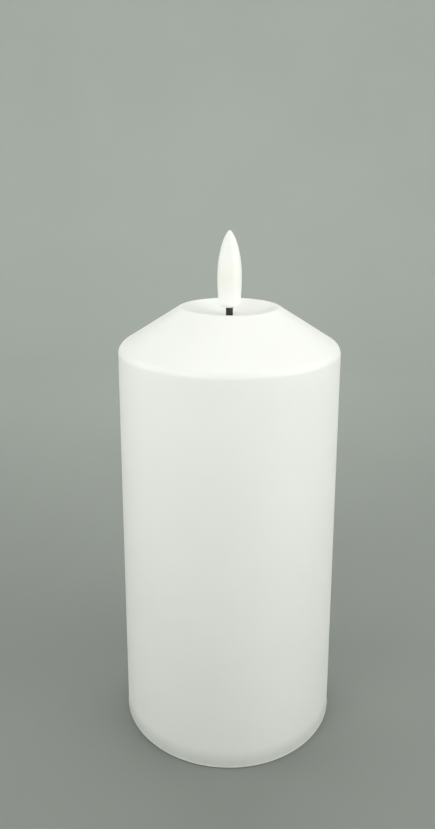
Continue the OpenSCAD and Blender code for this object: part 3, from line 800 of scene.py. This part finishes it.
def spring_piece(name, node, towards):
    """A conical spring along X, from its contact plate to the flat end of a cell."""
    low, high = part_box(node)
    wire_r = 0.35 * MM
    wide, narrow, turns = 5 * MM, 3.2 * MM, 3.5
    start = (low.x if towards > 0 else high.x) + towards * wire_r
    end = (high.x if towards > 0 else low.x) - towards * wire_r
    y = math.copysign(CELL_Y, low.y + high.y)
    z = PLATE_TOP + CELL_R
    steps = int(turns * 40)
    path = []
    for i in range(steps + 1):
        t = i / steps
        r = wide + (narrow - wide) * t
        a = 2 * pi * turns * t
        path.append((start + (end - start) * t, y + r * cos(a), z + r * sin(a)))
    bm = bmesh.new()
    add_sweep(bm, path, wire_r, 12)
    dress(new_object(name, bm), "contact_nickel", "candle", [node])


def contact_pieces():
    for node in ("negative_contact", "positive_contact", "bridge_contact"):
        dress(softened(node + "_plate", node, 0.07 * MM), "contact_nickel", "candle", [node])
    spring_piece("negative_coil", "negative_spring", 1)
    spring_piece("bridge_coil", "bridge_spring", -1)


def tab_solder(bm):
    """Solder on the two tabs, round the leads' ends."""
    tab_face = -27.62 * MM
    outline = [(0, 0), (1.15 * MM, 0), (1.1 * MM, 0.15 * MM), (0.95 * MM, 0.4 * MM),
               (0.75 * MM, 0.75 * MM), (0.63 * MM, 1.1 * MM), (0, 1.2 * MM)]
    for y in (-CELL_Y, CELL_Y):
        add_lathe(bm, outline, 32, True, turned_to_x((tab_face, y, TAB_SOLDER_Z)))


def battery_leads():
    """Insulated leads from the solder tabs over the bay and down to the board."""
    dress(made_of("tab_solder", tab_solder), "contact_nickel", "candle", material="solder")
    routes = {  # in millimetres, from the tab to just above the pad
        "red": [(-27.4, 7.5, 21.9), (-24, 7.5, 21.6), (-18, 5, 21.5), (-13, -3, 21.5),
                (-9.5, -13, 21.5), (-8, -18.5, 20), (-8, -20.5, 15)],
        "black": [(-27.4, -7.5, 21.9), (-24, -7.5, 21.6), (-18, -10.5, 21.5),
                  (-13.5, -16.2, 21.3), (-11.8, -19.8, 18.5), (-11.5, -20.5, 14)],
    }
    for name, route in routes.items():
        pad = Vector((BATTERY_PAD_X[name], BATTERY_PAD_Y, BOARD_TOP + 0.1 * MM))
        path = smooth_path([Vector(p) * MM for p in route] + [pad], 12)
        bm = bmesh.new()
        add_sweep(bm, path, 0.6 * MM, 16)
        dress(new_object(f"battery_wire_{name}", bm), f"lead_{name}", "candle",
              [f"battery_lead_{name}"])


# ---------------------------------------------------------------- board and switch


def add_solder(bm, x, y, radius=0.85 * MM, height=0.7 * MM):
    outline = [(0, -0.02 * MM), (radius, -0.02 * MM), (radius, 0.04 * MM), (radius * 0.62, 0.2 * MM),
               (radius * 0.45, height * 0.7), (radius * 0.3, height), (0, height * 1.04)]
    add_lathe(bm, outline, 28, True, Matrix.Translation((x, y, BOARD_TOP)))


def solder_joints(bm):
    for x in TERMINAL_X:
        add_solder(bm, x, SWITCH_Y, 0.75 * MM)
    for side in (-1, 1):
        add_solder(bm, side * LAMP_PAD_X, LAMP_PAD_Y, 0.7 * MM)
    for x in BATTERY_PAD_X.values():
        add_solder(bm, x, BATTERY_PAD_Y, 1.1 * MM, 0.9 * MM)


def chip_pieces():
    """Eight-pin package with a pin mark, on gull-wing leads."""
    low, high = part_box("timer_chip")
    centre = (low + high) / 2
    half_x, half_y = 2.45 * MM, 1.9 * MM
    body_low = BOARD_TOP + 0.1 * MM

    def package(bm):
        add_block(bm, (centre.x - half_x, centre.y - half_y, body_low),
                  (centre.x + half_x, centre.y + half_y, high.z), 0.12 * MM, 1)

    def leads(bm):
        for i in range(4):
            x = centre.x + (i - 1.5) * 1.27 * MM
            for side in (-1, 1):
                near, far = centre.y + side * half_y * 0.95, centre.y + side * (half_y + 0.9 * MM)
                bend = centre.y + side * (half_y + 0.4 * MM)
                foot = BOARD_TOP + 0.08 * MM
                path = [(x, near, body_low + 0.6 * MM), (x, bend, body_low + 0.58 * MM),
                        (x, bend + side * 0.12 * MM, foot + 0.1 * MM), (x, far, foot)]
                add_sweep(bm, smooth_path(path, 4), 0.13 * MM, 8)

    def mark(bm):
        add_ring(bm, (centre.x - half_x * 0.7, centre.y - half_y * 0.6, high.z - 0.01 * MM),
                 0.2 * MM, 0.1 * MM, 0.02 * MM)

    dress(made_of("chip_package", package, 20), "component_black", "candle", ["timer_chip"])
    dress(made_of("chip_leads", leads), "contact_nickel", "candle")
    dress(made_of("chip_mark", mark), "component_black", "candle")


def crystal_piece():
    low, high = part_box("timer_crystal")
    r = (high.z - low.z) / 2
    length = high.x - low.x
    outline = [(0, 0), (r * 0.7, 0), (r * 0.7, 0.12 * MM), (r, 0.15 * MM), (r, length - 0.25 * MM),
               (r - 0.25 * MM, length), (0, length)]
    centre = (low + high) / 2
    place = turned_to_x((low.x, centre.y, centre.z))
    dress(lathe("crystal_can", outline, 48, 35, place), "screw_steel", "candle", ["timer_crystal"])

    def legs(bm):
        for side in (-1, 1):
            y = centre.y + side * 0.35 * MM
            path = [(low.x + 0.1 * MM, y, centre.z), (low.x - 0.7 * MM, y, centre.z - 0.05 * MM),
                    (low.x - 0.9 * MM, y, BOARD_TOP + 0.2 * MM), (low.x - 0.9 * MM, y, BOARD_TOP)]
            add_sweep(bm, smooth_path(path, 5), 0.13 * MM, 8)

    dress(made_of("crystal_legs", legs), "contact_nickel", "candle")


def capacitor_pieces():
    """Electrolytic capacitor: sleeve with the crimped neck, and the scored end of its can."""
    low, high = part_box("board_capacitor")
    centre = (low + high) / 2
    r = high.x - centre.x
    height = high.z - low.z
    place = Matrix.Translation((centre.x, centre.y, low.z))
    neck, crimp = 1.1 * MM, 0.35 * MM
    end_r, end_z = r - 0.5 * MM, height - 0.1 * MM
    sleeve = [(0, 0), (r - 0.15 * MM, 0), (r, 0.2 * MM), (r, neck - crimp), (r - 0.22 * MM, neck),
              (r, neck + crimp), (r, height - 0.3 * MM), (r - 0.18 * MM, height - 0.06 * MM),
              (r - 0.45 * MM, height), (end_r, end_z), (0, end_z)]
    dress(lathe("capacitor_sleeve", sleeve, 64, 35, place), "capacitor_sleeve", "candle",
          ["board_capacitor"])

    def end(bm):
        low_z, top_z = height - 0.12 * MM, height - 0.05 * MM
        add_lathe(bm, [(0, low_z), (end_r, low_z), (end_r, top_z), (0, top_z)], 48, True, place)
        middle = (centre.x, centre.y, high.z - 0.06 * MM)
        for turn in (pi / 4, -pi / 4):
            add_bar(bm, middle, 2 * r * 0.6, 0.12 * MM, 0.04 * MM, turn)

    dress(made_of("capacitor_end", end), "screw_steel", "candle")


def resistor_pieces():
    low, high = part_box("board_resistors")
    size = Vector((3.2 * MM, 1.6 * MM, 0.6 * MM))
    cap = 0.45 * MM
    starts = (low.x, high.x - size.x)

    def bodies(bm):
        for x in starts:
            add_block(bm, (x + cap * 0.8, low.y + 0.04 * MM, low.z),
                      (x + size.x - cap * 0.8, high.y - 0.04 * MM, high.z), 0.06 * MM)

    def caps(bm):
        for x in starts:
            for a in (x, x + size.x - cap):
                add_block(bm, (a, low.y, low.z), (a + cap, high.y, high.z - 0.02 * MM), 0.1 * MM)

    dress(made_of("resistor_bodies", bodies), "component_black", "candle", ["board_resistors"])
    dress(made_of("resistor_caps", caps), "contact_nickel", "candle")


def knob_ribs(bm):
    """Grip ribs across the tip of the switch knob."""
    tip_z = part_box("switch_knob")[0].z
    half_w, half_l = 0.18 * MM, 1.15 * MM
    for i in range(-1, 2):
        x = i * 0.85 * MM
        add_block(bm, (x - half_w, SWITCH_Y - half_l, tip_z - 0.15 * MM),
                  (x + half_w, SWITCH_Y + half_l, tip_z + 0.1 * MM), 0.06 * MM)


def board_pieces():
    dress(softened("board_plate", "timer_board", 0.05 * MM), "board_green", "candle", ["timer_board"])
    dress(made_of("solder_joints", solder_joints), "screw_steel", "candle", material="solder")
    chip_pieces()
    crystal_piece()
    capacitor_pieces()
    resistor_pieces()


def switch_pieces():
    for node, slot, body in (
        ("switch_can", "screw_steel", "candle"),
        ("switch_base", "switch_phenolic", "candle"),
        ("switch_terminals", "contact_nickel", "candle"),
        ("switch_knob", "knob_black", "switch"),
        ("switch_wiper", "wiper_brass", "switch"),
    ):
        dress(softened(node + "_piece", node, 0.06 * MM), slot, body, [node])
    dress(made_of("switch_knob_ribs", knob_ribs), "knob_black", "switch")


# ---------------------------------------------------------------- camera, stage and light


def make_camera():
    """The camera stands in front, a little above the candle, and looks down at it."""
    place = (-0.00406, -0.2461, 0.1959)
    look_down, roll = radians(13.58), radians(-0.06)
    data = bpy.data.cameras.new("camera")
    data.lens = 32.33
    data.sensor_width = 36
    data.shift_y = -0.0834
    data.clip_start = 0.01
    data.clip_end = 10
    camera = bpy.data.objects.new("camera", data)
    bpy.context.scene.collection.objects.link(camera)
    camera.location = place
    camera.rotation_euler = (pi / 2 - look_down, roll, 0)
    bpy.context.scene.camera = camera


def make_stage():
    """A round studio sweep: a floor that curves up into a wall all round."""
    floor_r, wall_r, wall_h = 0.5, 0.85, 1.3
    bend = wall_r - floor_r
    outline = [(0, 0), (0.1, 0), (0.25, 0), (floor_r, 0)]
    outline += arc((floor_r, bend), bend, -pi / 2, 0, 24)[1:]
    outline += [(wall_r, wall_h)]
    bm = bmesh.new()
    add_lathe(bm, outline, 128, closed=False)
    bmesh.ops.reverse_faces(bm, faces=bm.faces)
    mesh = bpy.data.meshes.new("studio_sweep")
    bm.to_mesh(mesh)
    bm.free()
    for face in mesh.polygons:
        face.use_smooth = True
    sweep = bpy.data.objects.new("studio_sweep", mesh)
    bpy.context.scene.collection.objects.link(sweep)
    paper, _ = surface("studio paper", (0.222, 0.2425, 0.219), 0.85, mottle=0.2, vary=0.01,
                       grain=1.5 * MM, relief=0.02 * MM, rough_vary=0.05)
    mesh.materials.append(paper)


MIDDLE = (0, 0, 0.12)
EYE_LEVEL = (0, 0, 0.13)
LAMPS = {
    # name: place, what it is aimed at, width and height, watts
    "wall_behind": ((0, 0.30, 0.60), (0, 0.85, 0.15), (0.6, 0.2), 4.05),
    "floor_behind": ((0, 0.50, 0.50), (0, 0.55, 0), (0.8, 0.3), 1.75),
    "over": ((0, -0.05, 0.45), (0, 0, 0.1), (0.3, 0.3), 0.4),
    "right_side": ((0.50, 0, 0.25), MIDDLE, (0.3, 0.4), 0.4),
    "left_side": ((-0.50, 0, 0.25), MIDDLE, (0.3, 0.4), 0.85),
    "right_front": ((0.41, -0.26, 0.285), (0, 0, 0.09), (0.3, 0.38), 0.86),
    "left_front": ((-0.20, -0.24, 0.22), MIDDLE, (0.15, 0.15), 0.3),
    "front": ((0, -0.27, 0.16), EYE_LEVEL, (0.3, 0.06), 0.175),
    "right_eye": ((0.22, -0.14, 0.17), EYE_LEVEL, (0.1, 0.1), 0.03),
    "right_near": ((0.24, -0.02, 0.24), EYE_LEVEL, (0.15, 0.2), 0.11),
}
OTHER_WALLS = 3.0  # watts on each of the three other quarters of the wall
WORLD_LIGHT = 0.01


def add_lamp(name, place, aim, size, power):
    data = bpy.data.lights.new(name, "AREA")
    data.shape = "RECTANGLE"
    data.size, data.size_y = size
    data.energy = power
    lamp = bpy.data.objects.new(name, data)
    lamp.location = place
    lamp.rotation_euler = (Vector(aim) - Vector(place)).to_track_quat("-Z", "Y").to_euler()
    lamp.visible_camera = False
    bpy.context.scene.collection.objects.link(lamp)


def make_lamps():
    for name, (place, aim, size, power) in LAMPS.items():
        add_lamp(name, place, aim, size, power)
    for name, turn in (("wall_left", pi / 2), ("wall_front", pi), ("wall_right", -pi / 2)):
        spin = Matrix.Rotation(turn, 3, "Z")
        place, aim = Vector((0, 0.30, 0.50)), Vector((0, 0.85, 0.35))
        add_lamp(name, spin @ place, spin @ aim, (0.6, 0.3), OTHER_WALLS)
    world = bpy.data.worlds.new("studio")
    bpy.context.scene.world = world
    world.use_nodes = True
    sky = world.node_tree.nodes["Background"]
    sky.inputs["Color"].default_value = (1, 1, 1, 1)
    sky.inputs["Strength"].default_value = WORLD_LIGHT


make_camera()
make_stage()
make_lamps()
bpy.context.scene.view_settings.view_transform = "Standard"

candle_body()
screw_posts()
flame_piece()
wick_piece()
plug_piece()
lamp_pieces()
lamp_leads()
base_pieces()
door_pieces()
screw_pieces()
cell_pieces()
contact_pieces()
battery_leads()
board_pieces()
switch_pieces()
